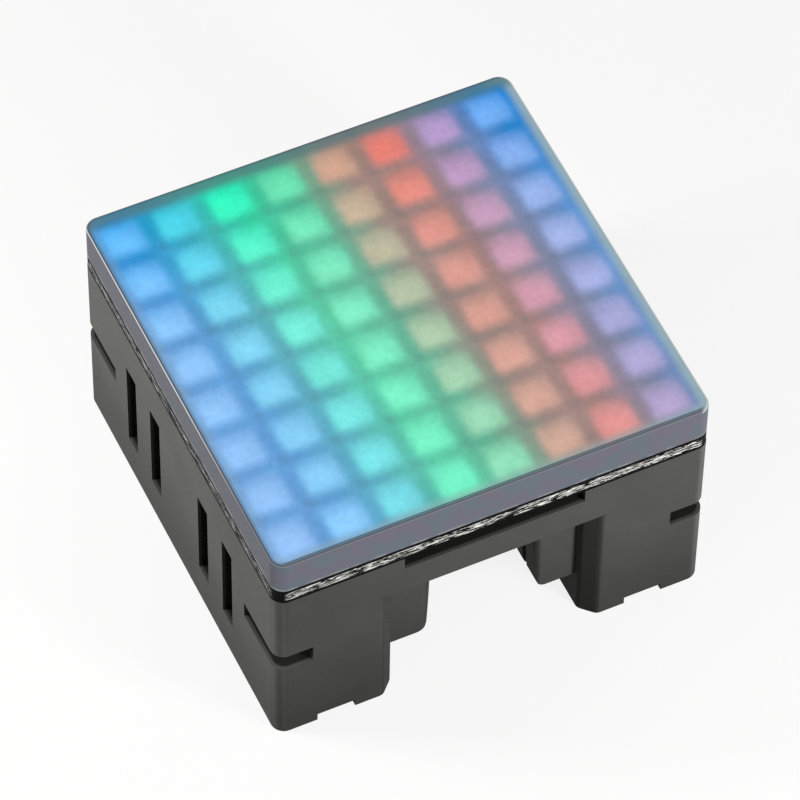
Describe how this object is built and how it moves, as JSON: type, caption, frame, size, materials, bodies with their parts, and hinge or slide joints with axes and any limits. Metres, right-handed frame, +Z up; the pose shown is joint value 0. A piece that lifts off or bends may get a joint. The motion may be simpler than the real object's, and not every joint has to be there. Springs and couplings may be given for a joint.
{
  "type": "led dot matrix module",
  "caption": "Square colour LED dot matrix under a frosted cap, on a grey moulded stand with corner slots and a cable bay.",
  "frame": {"origin": "under the middle of the module, on the plane its feet stand on", "axes": "+Z up; +X to the right along the front wall; +Y from the front wall, where the cable plugs in, to the back"},
  "size_m": [0.04, 0.04, 0.0239],
  "materials": {
    "frosted_cap": "frosted",
    "baffle_plastic": "matt",
    "led_body": "matt",
    "black_board": "solder mask",
    "green_board": "solder mask",
    "housing_grey": "moulded",
    "spacer_brass": "satin",
    "screw_steel": "satin",
    "link_cream": "moulded",
    "link_black": "moulded",
    "contact_metal": "plated",
    "chip_epoxy": "moulded",
    "tinned_lead": "tinned",
    "can_metal": "satin",
    "tank_yellow": "moulded",
    "ceramic_tan": "fired",
    "resistor_black": "fired"
  },
  "bodies": {
    "root": {"diffuser_cap": "frosted_cap", "light_baffle": "baffle_plastic", "led_row_1": "led_body", "led_row_2": "led_body", "led_row_3": "led_body", "led_row_4": "led_body", "led_row_5": "led_body", "led_row_6": "led_body", "led_row_7": "led_body", "led_row_8": "led_body", "led_board": "black_board", "driver_board": "green_board", "housing": "housing_grey", "spacer_1": "spacer_brass", "spacer_2": "spacer_brass", "spacer_3": "spacer_brass", "spacer_4": "spacer_brass", "screw_1": "screw_steel", "screw_2": "screw_steel", "screw_3": "screw_steel", "screw_4": "screw_steel", "link_plug_left": "link_black", "link_plug_right": "link_black", "link_socket_left": "link_cream", "link_socket_right": "link_cream", "link_contacts_left": "contact_metal", "link_contacts_right": "contact_metal", "cable_socket": "link_cream", "socket_contacts": "contact_metal", "controller_chip": "chip_epoxy", "controller_leads": "tinned_lead", "crystal_can": "can_metal", "regulator": "chip_epoxy", "regulator_leads": "tinned_lead", "column_driver_1": "chip_epoxy", "column_driver_2": "chip_epoxy", "column_leads_1": "tinned_lead", "column_leads_2": "tinned_lead", "row_switch_1": "chip_epoxy", "row_switch_2": "chip_epoxy", "row_switch_3": "chip_epoxy", "row_switch_4": "chip_epoxy", "switch_leads_1": "tinned_lead", "switch_leads_2": "tinned_lead", "switch_leads_3": "tinned_lead", "switch_leads_4": "tinned_lead", "tank_capacitor": "tank_yellow", "capacitors": "ceramic_tan", "resistors": "resistor_black"}
  },
  "joints": []
}
